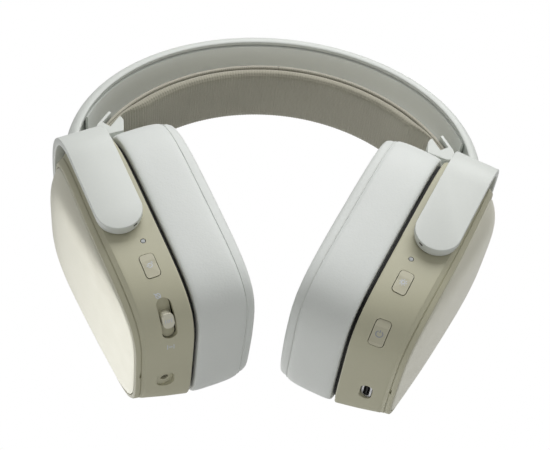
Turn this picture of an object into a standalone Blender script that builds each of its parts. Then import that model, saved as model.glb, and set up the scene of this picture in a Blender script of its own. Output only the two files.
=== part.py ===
"""Wireless over-ear headset with a floating head strap, built as separate pieces.

Upright as worn: +Z up, the wearer faces +Y, the wearer's right cup is at +X.
The origin is the middle of the head, half way between the two ear pads.
"""

import math

import bmesh
import bpy
from mathutils import Matrix, Vector

MM = 0.001
GAP = 0.3

# headband, seen from behind as half of an ellipse
BAND_HALF = 96.1
BAND_RISE = 72.8
BAND_LEVEL = 53.3
BAND_THICK = 5.7
BAND_LIP = 1.2
BAND_WIDE = 33.0
BAND_END = 91.0
CROWN_WIDE = 6.0
CHANNEL_DEEP = 1.8
CHANNEL_WIDE = 29.0
LINER_WIDE = 27.0

# floating strap under the band
STRAP_HALF = 88.6
STRAP_RISE = 77.2
STRAP_LEVEL = 29.5
STRAP_WIDE = 32.0
CARRIER_THICK = 1.6
PAD_THICK = 4.5
PAD_END = 49.6
STRAP_END = 63.5
CLIP_WIDE = 36.0

# where a cup hangs
LEAN = 25.2
PIVOT_X = 67.2
PIVOT_Z = -4.0
SWIVEL_RISE = 58.0

# cup outline at three depths: depth, half length, top, bottom, squareness of the lower half
MOUTH = (-13.0, 43.8, 52.6, 54.9, 5.0)
SHOULDER = (8.6, 43.3, 51.2, 51.6, 4.0)
RIM = (13.0, 39.6, 49.0, 51.6, 4.0)
TOP_POWER = 3.7
WALL = 2.2
PLATE_INSET = 1.9

# the outer half of the cup is bowed, and the plate bulges more towards its top
BOW = 1.5
BOW_REACH = 50.0
BOW_START = -3.0
BOW_BLEND = 10.0
DOME = 4.4
DOME_POWER = 6.0
DOME_LEAN = 0.95

# ear pad
PAD_BACK = -15.0
PAD_FACE = -41.0
EAR_HALF = 21.0
EAR_RISE = 31.0

# yoke
YOKE_HALF = 10.1
YOKE_REACH = 49.0
YOKE_THICK = 3.2
YOKE_START = 29.5
YOKE_POWER = 2.55

YOKE_WIDE = 26.0
YOKE_FOOT = -14.0

# tilt pivots: a stub through the wall, a boss between wall and arm, and a pin in the arm
STUB_RADIUS = 2.4
BOSS_RADIUS = 9.6
BOSS_FOOT = 43.9
BOSS_TOP = 45.4
PIN_RADIUS = 2.5
PIN_TOP = 47.3

# swivel pin: a head under the yoke's bridge and a shank up into the hinge block
SWIVEL_HEAD = 4.6
SWIVEL_SHANK = 2.7
SWIVEL_TOP = 2.7
SWIVEL_SEAT = -3.6
SWIVEL_LOW = -4.6

# speaker driver along the cup's out direction
DRIVER_STEPS = ((20.0, -10.7), (20.0, -8.8), (15.0, -5.0), (9.0, -5.0))
MAGNET_STEPS = ((11.5, -4.7), (11.5, -1.2))

# controls round the side wall: degrees from +Y through the top, and depth
LIGHT_SPOT = (199.6, -5.1)
FIRST_KEY_SPOT = (212.5, -3.5)
POWER_KEY_SPOT = (235.7, -3.1)
SLIDER_SPOT = (235.7, -3.2)
CHARGE_SPOT = (280.6, -0.4)
AUDIO_SPOT = (280.6, -1.5)
MIC_ANGLE = 273.0

# outlines of the controls: across, along, corner radius
FIRST_KEY = (6.6, 11.4, 1.8)
POWER_KEY = (6.8, 13.0, 1.8)
KEY_PROUD = 0.35
SLIDER_SLOT = (6.2, 19.0, 3.0)
SLIDER_FLOOR = (5.6, 18.2, 2.7)
SLIDER_KNOB = (4.9, 6.8, 2.1)
MIC_SLOT = (0.9, 4.4, 0.4)
CHARGE_RECESS = (5.4, 11.4, 2.6)
CHARGE_SHELL = (4.6, 10.6, 2.2)
CHARGE_MOUTH = (2.9, 8.6, 1.4)
CHARGE_TONGUE = (0.7, 6.4, 0.2)
AUDIO_RECESS = (7.6, 11.6, 3.7)
AUDIO_BODY = (7.0, 11.0, 3.4)
AUDIO_BORE = 1.8
THROUGH = 12.0

ROUND = 48
ANGLES = [2 * math.pi * index / ROUND for index in range(ROUND)]


# ---------------------------------------------------------------- helpers

def collection(name):
    made = bpy.data.collections.new(name)
    bpy.context.scene.collection.children.link(made)
    return made


def material(name, colour, roughness, metallic=0.0):
    made = bpy.data.materials.new(name)
    made.use_nodes = True
    made.diffuse_color = (*colour, 1.0)
    shader = made.node_tree.nodes["Principled BSDF"]
    shader.inputs["Base Color"].default_value = (*colour, 1.0)
    shader.inputs["Roughness"].default_value = roughness
    shader.inputs["Metallic"].default_value = metallic
    return made


def smooth(mesh, degrees=32.0):
    mesh.shade_smooth()
    mesh.set_sharp_from_angle(angle=math.radians(degrees))


def place(name, mesh, parent=None, paint=None, cutter=False):
    """Link a finished mesh as a named object."""
    thing = bpy.data.objects.new(name, mesh)
    thing.parent = parent
    if cutter:
        CUTTERS.objects.link(thing)
        thing.hide_render = True
        thing.display_type = "WIRE"
    else:
        HEADSET.objects.link(thing)
        mesh.materials.append(paint)
    smooth(mesh)
    return thing


def empty(name, parent, location=(0, 0, 0), turn=0.0, flip=False):
    made = bpy.data.objects.new(name, None)
    HEADSET.objects.link(made)
    made.parent = parent
    made.location = [value * MM for value in location]
    made.rotation_euler = (0.0, math.radians(turn), 0.0)
    if flip:
        made.scale = (-1.0, 1.0, 1.0)
    return made


def finish(work, name):
    """Turn a working bmesh into a mesh with its normals outward."""
    bmesh.ops.recalc_face_normals(work, faces=work.faces)
    mesh = bpy.data.meshes.new(name)
    work.to_mesh(mesh)
    work.free()
    return mesh


def prism(name, outline, thick, frame=Matrix()):
    """A flat outline in millimetres, filled and given a thickness, centred on its plane."""
    flat = bpy.data.curves.new(name, "CURVE")
    flat.dimensions = "2D"
    flat.fill_mode = "BOTH"
    flat.extrude = thick * MM / 2
    line = flat.splines.new("POLY")
    line.points.add(len(outline) - 1)
    for point, (across, along) in zip(line.points, outline):
        point.co = (across * MM, along * MM, 0.0, 1.0)
    line.use_cyclic_u = True
    carrier = bpy.data.objects.new(name, flat)
    bpy.context.scene.collection.objects.link(carrier)
    graph = bpy.context.evaluated_depsgraph_get()
    mesh = bpy.data.meshes.new_from_object(carrier.evaluated_get(graph))
    bpy.data.objects.remove(carrier)
    work = bmesh.new()
    work.from_mesh(mesh)
    bmesh.ops.remove_doubles(work, verts=work.verts, dist=0.00001)
    bmesh.ops.transform(work, matrix=frame, verts=work.verts)
    bmesh.ops.recalc_face_normals(work, faces=work.faces)
    work.to_mesh(mesh)
    work.free()
    return mesh


def frame_of(origin, right, up, out):
    """A placing matrix from an origin in millimetres and three axes."""
    made = Matrix((right, up, out)).transposed().to_4x4()
    made.translation = Vector(origin) * MM
    return made


def cylinder(name, radius, length, frame=Matrix(), sides=32):
    """A round bar along the frame's third axis, centred on its origin."""
    work = bmesh.new()
    bmesh.ops.create_cone(
        work,
        cap_ends=True,
        segments=sides,
        radius1=radius * MM,
        radius2=radius * MM,
        depth=length * MM,
        matrix=frame,
    )
    return finish(work, name)


def turned(name, steps, frame=Matrix(), sides=32):
    """A profile of (radius, height) pairs, closed to the axis and turned about it."""
    profile = [(0.0, steps[0][1])] + list(steps) + [(0.0, steps[-1][1])]
    work = bmesh.new()
    points = [work.verts.new((radius * MM, 0.0, height * MM)) for radius, height in profile]
    for first, second in zip(points, points[1:]):
        work.edges.new((first, second))
    mesh = bpy.data.meshes.new(name)
    work.to_mesh(mesh)
    work.free()
    carrier = bpy.data.objects.new(name, mesh)
    bpy.context.scene.collection.objects.link(carrier)
    turn = carrier.modifiers.new("turned", "SCREW")
    turn.steps = sides
    turn.render_steps = sides
    turn.use_merge_vertices = True
    turn.merge_threshold = 0.00001
    graph = bpy.context.evaluated_depsgraph_get()
    mesh = bpy.data.meshes.new_from_object(carrier.evaluated_get(graph))
    bpy.data.objects.remove(carrier)
    work = bmesh.new()
    work.from_mesh(mesh)
    bmesh.ops.transform(work, matrix=frame, verts=work.verts)
    return finish(work, name)


def bridge(work, rows, closed=False):
    pairs = list(zip(rows, rows[1:]))
    if closed:
        pairs.append((rows[-1], rows[0]))
    for first, second in pairs:
        count = len(first)
        for index in range(count):
            after = (index + 1) % count
            work.faces.new((first[index], first[after], second[after], second[index]))


def loft(name, loops, closed):
    """A skin through loops of equal count: a closed ring, or a solid capped at both ends."""
    work = bmesh.new()
    rows = [[work.verts.new(Vector(point) * MM) for point in loop] for loop in loops]
    bridge(work, rows, closed)
    if not closed:
        work.faces.new(rows[0])
        work.faces.new(rows[-1])
    return finish(work, name)


def cut(target, cutter, mode="DIFFERENCE"):
    step = target.modifiers.new(cutter.name, "BOOLEAN")
    step.object = cutter
    step.operation = mode
    step.solver = "EXACT"


def soften(target, width, segments=2, degrees=40.0):
    step = target.modifiers.new("rounded edges", "BEVEL")
    step.width = width * MM
    step.segments = segments
    step.limit_method = "ANGLE"
    step.angle_limit = math.radians(degrees)
    step.use_clamp_overlap = True


def box_outline(wide, tall, corner, steps=5):
    """A rectangle with rounded corners, centred."""
    points = []
    for turn, (sx, sy) in enumerate(((1, 1), (-1, 1), (-1, -1), (1, -1))):
        for index in range(steps + 1):
            angle = math.radians(90 * turn + 90 * index / steps)
            across = sx * (wide / 2 - corner) + corner * math.cos(angle)
            along = sy * (tall / 2 - corner) + corner * math.sin(angle)
            points.append((across, along))
    if corner * 2 >= wide or corner * 2 >= tall:
        kept = []
        for point in points:
            if all(math.dist(point, other) > 0.01 for other in kept):
                kept.append(point)
        return kept
    return points


def arc(half, rise, level, start, stop, steps):
    """Points on an ellipse; angles in degrees from the top, positive towards +X."""
    points = []
    for index in range(steps + 1):
        angle = math.radians(start + (stop - start) * index / steps)
        points.append((half * math.sin(angle), level + rise * math.cos(angle)))
    return points


def arc_strip(half, rise, level, near, far, start, stop, steps):
    """Closed outline between two offsets measured inward from an ellipse."""
    outer = arc(half - near, rise - near, level, start, stop, steps)
    inner = arc(half - far, rise - far, level, start, stop, steps)
    return outer + inner[::-1]


# ------------------------------------------------------- cup outline helpers

def between(first, second, share):
    return [a + (b - a) * share for a, b in zip(first, second)]


def cup_size(depth):
    """Half length, top, bottom and squareness of the cup outline at a depth."""
    if depth <= SHOULDER[0]:
        share = (depth - MOUTH[0]) / (SHOULDER[0] - MOUTH[0])
        return between(MOUTH[1:], SHOULDER[1:], share)
    share = (depth - SHOULDER[0]) / (RIM[0] - SHOULDER[0])
    return between(SHOULDER[1:], RIM[1:], share)


def outline_point(size, inset, angle):
    """Point of a rounded outline in (y, height); angle runs from +Y through the top."""
    half, top, bottom, bottom_power = size
    rise = (top if math.sin(angle) >= 0 else bottom) - inset
    power = TOP_POWER if math.sin(angle) >= 0 else bottom_power
    reach = abs(math.cos(angle) / (half - inset)) ** power
    reach += abs(math.sin(angle) / rise) ** power
    radius = reach ** (-1 / power)
    return radius * math.cos(angle), radius * math.sin(angle)


def bowed(depth, height):
    """Depth after the bow: the cup gets shallower towards its top and bottom."""
    share = min(1.0, max(0.0, (depth - BOW_START) / BOW_BLEND))
    return depth - BOW * share * (height / BOW_REACH) ** 2


def cup_loop(depth, inset, size=None, scale=1.0, count=ROUND):
    size = size or cup_size(depth)
    loop = []
    for index in range(count):
        along, height = outline_point(size, inset, 2 * math.pi * index / count)
        loop.append((bowed(depth, height * scale), along * scale, height * scale))
    return loop


def dome_loop(depth, scale):
    """Loop of the outer plate, lifted by its dome."""
    size = cup_size(RIM[0])
    lift = DOME * (1 - scale ** DOME_POWER)
    loop = []
    for base, along, height in cup_loop(RIM[0], PLATE_INSET, size, scale):
        bulge = lift * (1 + DOME_LEAN * height / BOW_REACH)
        loop.append((base - RIM[0] + depth + bulge, along, height))
    return loop


def oval_loop(depth, half, rise, count=ROUND):
    loop = []
    for index in range(count):
        angle = 2 * math.pi * index / count
        reach = abs(math.cos(angle) / half) ** 2.5 + abs(math.sin(angle) / rise) ** 2.5
        radius = reach ** (-1 / 2.5)
        loop.append((depth, radius * math.cos(angle), radius * math.sin(angle)))
    return loop


def wall_frame(angle_degrees, depth):
    """Placing matrix on the cup's side wall: third axis straight out of the wall."""
    size = cup_size(depth)
    angle = math.radians(angle_degrees)
    here = Vector(outline_point(size, 0.0, angle))
    ahead = Vector(outline_point(size, 0.0, angle + 0.02))
    behind = Vector(outline_point(size, 0.0, angle - 0.02))
    along = (ahead - behind).normalized()
    right = Vector((1.0, 0.0, 0.0))
    out = Vector((0.0, along.y, -along.x))
    up = out.cross(right)
    return frame_of((bowed(depth, here.y), here.x, here.y), right, up, out)


def side_point(out, height):
    """World (x, z) of a point given in a cup's own out and up directions."""
    turn = math.radians(LEAN)
    across = PIVOT_X + out * math.cos(turn) + height * math.sin(turn)
    up = PIVOT_Z - out * math.sin(turn) + height * math.cos(turn)
    return across, up


def strap_point(along, out):
    """World (x, z) of a point given along and out of the strap at its clip."""
    angle = math.asin(79.5 / STRAP_HALF)
    foot_x = STRAP_HALF * math.sin(angle)
    foot_z = STRAP_LEVEL + STRAP_RISE * math.cos(angle)
    return foot_x - 0.492 * along + 0.870 * out, foot_z + 0.870 * along + 0.492 * out


# ------------------------------------------------------------------ start

for thing in list(bpy.data.objects):
    bpy.data.objects.remove(thing)

HEADSET = collection("headset")
CUTTERS = collection("cutters")

WHITE = material("frost_white_shell", (0.74, 0.76, 0.73), 0.45)
LINER = material("grey_white_liner", (0.56, 0.58, 0.55), 0.6)
STEEL = material("spring_steel", (0.55, 0.55, 0.56), 0.35, 1.0)
BEIGE = material("greige_cup", (0.48, 0.46, 0.36), 0.5)
PLATE = material("satin_plate", (0.62, 0.61, 0.53), 0.38)
LEATHERETTE = material("pale_leatherette", (0.70, 0.72, 0.70), 0.6)
KNIT = material("taupe_knit", (0.33, 0.31, 0.25), 0.9)
WEBBING = material("taupe_webbing", (0.52, 0.50, 0.43), 0.85)
DARK = material("dark_plastic", (0.02, 0.02, 0.02), 0.6)
CREAM = material("cream_key", (0.60, 0.58, 0.48), 0.5)
LENS = material("smoked_lens", (0.25, 0.26, 0.26), 0.15)
CONTACT = material("contact_metal", (0.75, 0.72, 0.65), 0.25, 1.0)
BOARD = material("circuit_board", (0.02, 0.10, 0.05), 0.5)
CELL = material("cell_wrap", (0.30, 0.30, 0.32), 0.4)
MESH_CLOTH = material("scrim_cloth", (0.05, 0.05, 0.05), 0.9)

FROM_BEHIND = frame_of((0, 0, 0), (1, 0, 0), (0, 0, 1), (0, -1, 0))

root = empty("headband_root", None)

# ---------------------------------------------------------------- headband



def band_section():
    """Half of the band's section as (in from the crown, across) from the channel to the crown."""
    steps = 6
    points = [(BAND_THICK - CHANNEL_DEEP, CHANNEL_WIDE / 2), (BAND_THICK, CHANNEL_WIDE / 2)]
    points.append((BAND_THICK, BAND_WIDE / 2 - 0.3))
    points.append((BAND_THICK - 0.3, BAND_WIDE / 2))
    for index in range(steps + 1):
        angle = math.pi / 2 * index / steps
        inward = (BAND_THICK - BAND_LIP) * (1 - math.sin(angle))
        points.append((inward, BAND_WIDE / 2 - CROWN_WIDE * (1 - math.cos(angle))))
    return points


def band_loops():
    """Sections along the arch, domed on the outside and channelled on the inside."""
    front = band_section()
    section = front + [(inward, -across) for inward, across in reversed(front)]
    steps = 44
    loops = []
    for index in range(steps + 1):
        angle = -BAND_END + 2 * BAND_END * index / steps
        loop = []
        for inward, across in section:
            spot = arc(BAND_HALF - inward, BAND_RISE - inward, BAND_LEVEL, angle, angle, 1)[0]
            loop.append((spot[0], across, spot[1]))
        loops.append(loop)
    return loops


place("band_shell", loft("band_shell", band_loops(), False), root, WHITE)
near = BAND_THICK - CHANNEL_DEEP + 0.2
outline = arc_strip(BAND_HALF, BAND_RISE, BAND_LEVEL, near, near + 0.6, -72, 72, 28)
place("spring_core", prism("spring_core", outline, 20.0, FROM_BEHIND), root, STEEL)
near = near + 0.9
outline = arc_strip(BAND_HALF, BAND_RISE, BAND_LEVEL, near, near + 1.1, -76, 76, 36)
liner = prism("band_liner", outline, LINER_WIDE, FROM_BEHIND)
place("band_liner", liner, root, LINER)

# ------------------------------------------------------------------- strap

strap = empty("strap_lift", root)
outline = arc_strip(STRAP_HALF, STRAP_RISE, STRAP_LEVEL, 0.0, CARRIER_THICK, -PAD_END, PAD_END, 30)
carrier = prism("strap_carrier", outline, STRAP_WIDE, FROM_BEHIND)
place("strap_carrier", carrier, strap, WEBBING)
near = CARRIER_THICK + 0.2
outline = arc_strip(
    STRAP_HALF, STRAP_RISE, STRAP_LEVEL, near, near + PAD_THICK, -PAD_END, PAD_END, 30
)
pad = place("strap_pad", prism("strap_pad", outline, STRAP_WIDE, FROM_BEHIND), strap, KNIT)
soften(pad, 1.4, 2, 50)


def strap_end_outline():
    """The stretchy end of the strap, thinning into the clip."""
    steps = 8
    start = PAD_END + 0.25
    outer = arc(STRAP_HALF, STRAP_RISE, STRAP_LEVEL, start, STRAP_END, steps)
    inner = []
    for index in range(steps + 1):
        share = index / steps
        thick = 6.3 + (3.0 - 6.3) * min(1.0, 2 * share)
        angle = start + (STRAP_END - start) * share
        inner += arc(STRAP_HALF - thick, STRAP_RISE - thick, STRAP_LEVEL, angle, angle, 1)[:1]
    return outer + inner[::-1]


class Side:
    """One end of the band with everything that hangs on it; the left one is mirrored."""

    def __init__(self, side, flip):
        self.side = side
        self.hand = empty("side_" + side, root, flip=flip)
        across, level = side_point(0.0, SWIVEL_RISE)
        self.swivel = empty("swivel_axis_" + side, self.hand, (across, 0, level), LEAN)
        self.tilt = empty("tilt_axis_" + side, self.swivel, (0, 0, -SWIVEL_RISE))
        self.shell = None

    def piece(self, word, mesh, parent, paint):
        return place(word + "_" + self.side, mesh, parent, paint)

    def tool(self, word, mesh, parent):
        return place(word + "_" + self.side + "_cutter", mesh, parent, cutter=True)


ALONG_Y = frame_of((0, 0, 0), (1, 0, 0), (0, 0, -1), (0, 1, 0))
OUTWARD = frame_of((0, 0, 0), (0, 1, 0), (0, 0, 1), (1, 0, 0))


def strap_fixing(side):
    """Stretchy strap end, and the clip screwed to the band that holds it."""
    mesh = prism("strap_end", strap_end_outline(), STRAP_WIDE, FROM_BEHIND)
    side.piece("strap_end", mesh, side.hand, WEBBING)
    clip_points = (
        (7.0, 1.9), (7.0, 0.4), (0.0, 0.4), (0.0, -3.7), (7.5, -3.7), (7.5, -4.7),
        (6.6, -6.6), (1.45, -10.1), (-5.7, -4.4), (-8.4, 0.4), (-2.0, 1.9),
    )
    outline = [strap_point(along, out) for along, out in clip_points]
    clip = side.piece("strap_clip", prism("strap_clip", outline, CLIP_WIDE, FROM_BEHIND), side.hand, WHITE)
    screw_x, screw_z = strap_point(-0.5, -7.2)
    here = frame_of((screw_x, 0, screw_z), (0.81, 0, -0.58), (0, 1, 0), (-0.58, 0.0, -0.81))
    cut(clip, side.tool("clip_screw", cylinder("clip_screw", 1.8, 6.0, here, 20), side.hand))
    soften(clip, 0.35, 2, 30)
    seat = here @ Matrix.Translation((0, 0, -0.5 * MM))
    side.piece("clip_screw", cylinder("clip_screw", 1.5, 4.0, seat, 20), side.hand, STEEL)


def hinge(side):
    """Block on the band's end, and the pin that the yoke swivels on."""
    block_points = [
        (79.4, 55.9), (84.0, 55.9), (85.2, 60.0), (89.4, 60.0), (89.9, 56.0),
        (89.9, 51.6), (96.4, 51.6), side_point(9.0, 58.5), side_point(-13.0, 58.5),
    ]
    mesh = prism("hinge_block", block_points, YOKE_WIDE, FROM_BEHIND)
    block = side.piece("hinge_block", mesh, side.hand, WHITE)
    bore = Matrix.Translation((0, 0, 0.9 * MM))
    hole = cylinder("swivel_bore", SWIVEL_SHANK + 0.4, 4.2, bore, 28)
    cut(block, side.tool("swivel_bore", hole, side.swivel))
    soften(block, 0.5, 2, 30)
    steps = (
        (SWIVEL_HEAD, SWIVEL_LOW), (SWIVEL_HEAD, SWIVEL_SEAT),
        (SWIVEL_SHANK, SWIVEL_SEAT), (SWIVEL_SHANK, SWIVEL_TOP),
    )
    side.piece("swivel_pin", turned("swivel_pin", steps, sides=28), side.swivel, STEEL)


def yoke_outline():
    """Bent bar seen from the side: straight arms and a superellipse over the cup."""
    steps = 10
    outer = [(YOKE_REACH, YOKE_FOOT)]
    inner = [(YOKE_REACH - YOKE_THICK, YOKE_FOOT)]
    for index in range(2 * steps + 1):
        angle = math.pi * index / (2 * steps)
        across = math.copysign(abs(math.cos(angle)) ** (2 / YOKE_POWER), math.cos(angle))
        up = abs(math.sin(angle)) ** (2 / YOKE_POWER)
        rise = SWIVEL_RISE - YOKE_START
        outer.append((YOKE_REACH * across, YOKE_START + rise * up))
        inner.append(((YOKE_REACH - YOKE_THICK) * across, YOKE_START + (rise - YOKE_THICK) * up))
    outer.append((-YOKE_REACH, YOKE_FOOT))
    inner.append((-(YOKE_REACH - YOKE_THICK), YOKE_FOOT))
    return outer + inner[::-1]


def arm_outline():
    """Round-ended arm seen from behind, reaching up past the bridge."""
    pill = []
    for index in range(25):
        angle = math.pi + math.pi * index / 24
        pill.append((YOKE_HALF * math.cos(angle), YOKE_HALF * math.sin(angle)))
    return pill + [(YOKE_HALF, 70.0), (-YOKE_HALF, 70.0)]


def yoke(side):
    """Yoke over the cup, from the rear pivot to the front pivot."""
    bar = side.piece("yoke", prism("yoke", yoke_outline(), YOKE_WIDE, OUTWARD), side.swivel, WHITE)
    bar.location = (0, 0, -SWIVEL_RISE * MM)
    trim = side.tool("yoke_outline", prism("yoke_outline", arm_outline(), 110.0, FROM_BEHIND), side.tilt)
    cut(bar, trim, "INTERSECT")
    hole = cylinder("arm_bore", PIN_RADIUS + 0.4, 95.4, ALONG_Y, 24)
    cut(bar, side.tool("arm_bore", hole, side.tilt))
    hole = cylinder("bridge_bore", SWIVEL_SHANK + GAP, THROUGH, sides=28)
    cut(bar, side.tool("bridge_bore", hole, side.swivel))
    soften(bar, 0.5, 1, 40)


def cup_shell(side):
    """Hollow shell: side wall, slope, seat for the outer plate, and holes for the pivots."""
    loops = [
        cup_loop(MOUTH[0], 0.6),
        cup_loop(MOUTH[0] + 0.6, 0.0),
        cup_loop(-3.0, 0.0),
        cup_loop(SHOULDER[0] - 0.5, 0.0),
        cup_loop(SHOULDER[0] + 0.5, 0.1),
        cup_loop(RIM[0] - 0.4, 0.0),
        cup_loop(RIM[0], 0.4),
        cup_loop(RIM[0], PLATE_INSET - GAP),
        cup_loop(RIM[0] - 1.8, PLATE_INSET - GAP),
        cup_loop(RIM[0] - 1.8, 5.0),
        cup_loop(RIM[0] - 3.2, 5.0),
        cup_loop(SHOULDER[0] - 2.0, WALL),
        cup_loop(-3.0, WALL),
        cup_loop(MOUTH[0], WALL),
    ]
    side.shell = side.piece("cup_shell", loft("cup_shell", loops, True), side.tilt, BEIGE)
    hole = cylinder("pivot_hole", STUB_RADIUS + GAP, 120.0, ALONG_Y, 24)
    cut(side.shell, side.tool("pivot_hole", hole, side.tilt))


def pivots(side):
    """Bosses standing on the side wall, each with a pin in its arm."""
    steps = (
        (STUB_RADIUS, 40.4), (STUB_RADIUS, BOSS_FOOT), (BOSS_RADIUS, BOSS_FOOT),
        (BOSS_RADIUS, BOSS_TOP), (PIN_RADIUS, BOSS_TOP), (PIN_RADIUS, PIN_TOP),
    )
    for word, facing in (("rear", -1), ("front", 1)):
        here = frame_of((0, 0, 0), (1, 0, 0), (0, 0, -facing), (0, facing, 0))
        side.piece(word + "_pivot", turned(word + "_pivot", steps, here), side.tilt, WHITE)


def outer_plate(side):
    """Domed plate with a short flange that sits in the shell's seat."""
    loops = [dome_loop(RIM[0] + 0.3, scale) for scale in (0.10, 0.5, 0.76, 0.9, 0.97)]
    loops.append(dome_loop(RIM[0] + 0.2, 1.0))
    loops.append(dome_loop(RIM[0] - 1.5, 1.0))
    loops += [dome_loop(RIM[0] - 1.5, scale) for scale in (0.93, 0.74, 0.12)]
    side.piece("outer_plate", loft("outer_plate", loops, False), side.tilt, PLATE)


def speaker(side):
    """Mounting ring with its cloth, the baffle, and the driver behind it."""
    size = MOUTH[1:]
    loops = [
        cup_loop(-14.7, 2.4, size),
        cup_loop(-13.3, 2.4, size),
        oval_loop(-13.3, 26.0, 36.0),
        oval_loop(-14.7, 26.0, 36.0),
    ]
    side.piece("pad_ring", loft("pad_ring", loops, True), side.tilt, DARK)
    loops = [oval_loop(-14.5, 25.7, 35.7), oval_loop(-13.9, 25.7, 35.7)]
    side.piece("scrim", loft("scrim", loops, False), side.tilt, MESH_CLOTH)
    opening = 17.0
    loops = [
        cup_loop(-12.9, WALL + GAP + 0.2),
        cup_loop(-11.0, WALL + GAP + 0.2),
        [(-11.0, opening * math.cos(a), opening * math.sin(a)) for a in ANGLES],
        [(-12.9, opening * math.cos(a), opening * math.sin(a)) for a in ANGLES],
    ]
    side.piece("baffle", loft("baffle", loops, True), side.tilt, DARK)
    side.piece("driver", turned("driver", DRIVER_STEPS, OUTWARD, 40), side.tilt, DARK)
    side.piece("driver_magnet", turned("magnet", MAGNET_STEPS, OUTWARD, 36), side.tilt, STEEL)


def ear_cushion(side):
    """Soft ring round the ear."""
    size = MOUTH[1:]
    ring = [
        cup_loop(PAD_BACK, 3.5, size),
        cup_loop(PAD_BACK - 0.9, 0.9, size),
        cup_loop(PAD_BACK - 3.5, -0.1, size),
        cup_loop(PAD_BACK - 11.0, -0.2, size),
        cup_loop(PAD_FACE + 6.0, 0.0, size),
        cup_loop(PAD_FACE + 2.6, 0.8, size),
        cup_loop(PAD_FACE + 0.8, 2.6, size),
        cup_loop(PAD_FACE, 5.4, size),
        oval_loop(PAD_FACE, EAR_HALF + 4.4, EAR_RISE + 4.4),
        oval_loop(PAD_FACE + 1.4, EAR_HALF + 1.6, EAR_RISE + 1.6),
        oval_loop(PAD_FACE + 5.0, EAR_HALF, EAR_RISE),
        oval_loop(PAD_BACK - 6.0, EAR_HALF, EAR_RISE),
        oval_loop(PAD_BACK, EAR_HALF + 3.0, EAR_RISE + 3.0),
    ]
    side.piece("ear_cushion", loft("ear_cushion", ring, True), side.tilt, LEATHERETTE)


def small_parts(side):
    """Circuit board, status light above the first key, and the microphone's slot."""
    here = frame_of((1.2, 0, 0), (0, 1, 0), (0, 0, 1), (1, 0, 0))
    mesh = prism("circuit_board", box_outline(44.0, 50.0, 3.0), 1.4, here)
    side.piece("circuit_board", mesh, side.tilt, BOARD)
    spot = wall_frame(*LIGHT_SPOT)
    hole = cylinder("light_hole", 1.2, THROUGH, spot, 18)
    cut(side.shell, side.tool("light_hole", hole, side.tilt))
    inside = spot @ Matrix.Translation((0, 0, -1.05 * MM))
    side.piece("status_light", cylinder("status_light", 0.9, 2.0, inside, 18), side.tilt, LENS)
    spot = wall_frame(MIC_ANGLE, (SHOULDER[0] + RIM[0]) / 2)
    slot = prism("mic_slot", box_outline(*MIC_SLOT), 1.6, spot)
    cut(side.shell, side.tool("mic_slot", slot, side.tilt))


def build_side(word, flip):
    side = Side(word, flip)
    strap_fixing(side)
    hinge(side)
    yoke(side)
    cup_shell(side)
    pivots(side)
    outer_plate(side)
    speaker(side)
    ear_cushion(side)
    small_parts(side)
    return side


# ---------------------------------------------------------------- controls

def skin_band(name, out, thick):
    """The side wall again, grown outward, used to give buttons the wall's own curve."""
    loops = [
        cup_loop(MOUTH[0] + 0.6, -out),
        cup_loop(SHOULDER[0] - 0.5, -out),
        cup_loop(SHOULDER[0] - 0.5, thick - out),
        cup_loop(MOUTH[0] + 0.6, thick - out),
    ]
    return loft(name, loops, True)


def opening(side, word, outline, spot):
    """Cut an outline straight through the side wall."""
    hole = prism(word, box_outline(*outline), THROUGH, spot)
    cut(side.shell, side.tool(word, hole, side.tilt))


def sunk(spot, depth):
    """The placing matrix moved into the wall by a depth."""
    return spot @ Matrix.Translation((0, 0, -depth * MM))


def add_key(side, word, place_on_wall, outline):
    """A pressed key: a hole in the wall and a cap with the wall's curve in it."""
    spot = wall_frame(*place_on_wall)
    opening(side, word + "_hole", outline, spot)
    cap = side.piece(word, skin_band(word, KEY_PROUD, WALL + KEY_PROUD), side.tilt, BEIGE)
    wide, tall, corner = outline
    inner = box_outline(wide - 2 * GAP, tall - 2 * GAP, corner - GAP)
    edge = side.tool(word + "_edge", prism(word + "_edge", inner, THROUGH, spot), side.tilt)
    cut(cap, edge, "INTERSECT")


def charging_socket(side):
    """Metal shell with a mouth and the contact tongue standing in it."""
    spot = wall_frame(*CHARGE_SPOT)
    opening(side, "charge_recess", CHARGE_RECESS, spot)
    mesh = prism("charge_socket", box_outline(*CHARGE_SHELL), 6.4, sunk(spot, 4.2))
    socket = side.piece("charge_socket", mesh, side.tilt, STEEL)
    mouth = prism("charge_mouth", box_outline(*CHARGE_MOUTH), 8.0, sunk(spot, 1.6))
    cut(socket, side.tool("charge_mouth", mouth, side.tilt))
    mesh = prism("charge_tongue", box_outline(*CHARGE_TONGUE), 4.2, sunk(spot, 3.2))
    side.piece("charge_tongue", mesh, side.tilt, DARK)


def slide_switch(side):
    """Knob standing in a slot, above a floor that closes the slot."""
    spot = wall_frame(*SLIDER_SPOT)
    opening(side, "slider_slot", SLIDER_SLOT, spot)
    mesh = prism("slider_floor", box_outline(*SLIDER_FLOOR), 1.2, sunk(spot, 4.4))
    side.piece("slider_floor", mesh, side.tilt, BEIGE)
    mesh = prism("slider_knob", box_outline(*SLIDER_KNOB), 4.2, sunk(spot, 1.6))
    soften(side.piece("slider_knob", mesh, side.tilt, CREAM), 0.5, 2, 40)


def audio_jack(side):
    """Socket body behind a round-ended recess, bored for the plug."""
    spot = wall_frame(*AUDIO_SPOT)
    opening(side, "jack_recess", AUDIO_RECESS, spot)
    mesh = prism("audio_socket", box_outline(*AUDIO_BODY), 7.6, sunk(spot, 6.4))
    socket = side.piece("audio_socket", mesh, side.tilt, DARK)
    mouth = cylinder("jack_mouth", AUDIO_BORE, 9.0, sunk(spot, 4.2), 24)
    cut(socket, side.tool("jack_mouth", mouth, side.tilt))


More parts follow.
